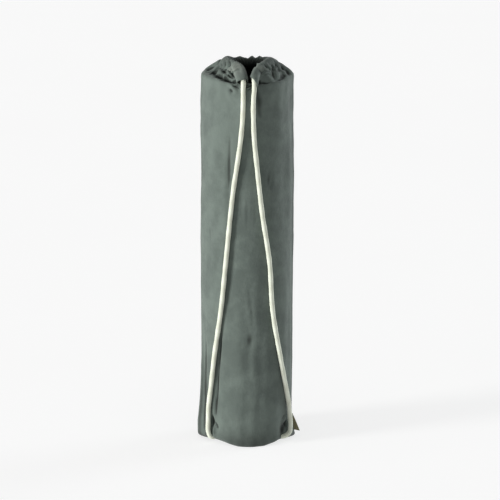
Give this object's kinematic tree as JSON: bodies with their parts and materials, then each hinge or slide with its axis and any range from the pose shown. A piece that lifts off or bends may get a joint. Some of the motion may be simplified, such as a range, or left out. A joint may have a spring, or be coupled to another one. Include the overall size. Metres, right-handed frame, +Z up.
{
  "type": "yoga mat bag",
  "caption": "Upright cylindrical cloth bag with a gathered drawstring mouth and a cotton cord that runs down the front to the base as shoulder straps.",
  "frame": {"origin": "centre of the base, on the floor that the bag stands on", "axes": "+Z up along the bag, -Y towards the front where the cord comes out, +X to the right seen from the front"},
  "size_m": [0.1755, 0.1646, 0.6646],
  "materials": {
    "cloth": "closely woven grey-green cotton with a faint sheen",
    "cord": "soft natural cotton rope",
    "tag": "folded olive-brown tape"
  },
  "bodies": {
    "root": {"cloth_tube": "cloth", "base_panel": "cloth", "drawstring_casing": "cloth", "drawcord": "cord", "side_tag": "tag"}
  },
  "joints": []
}
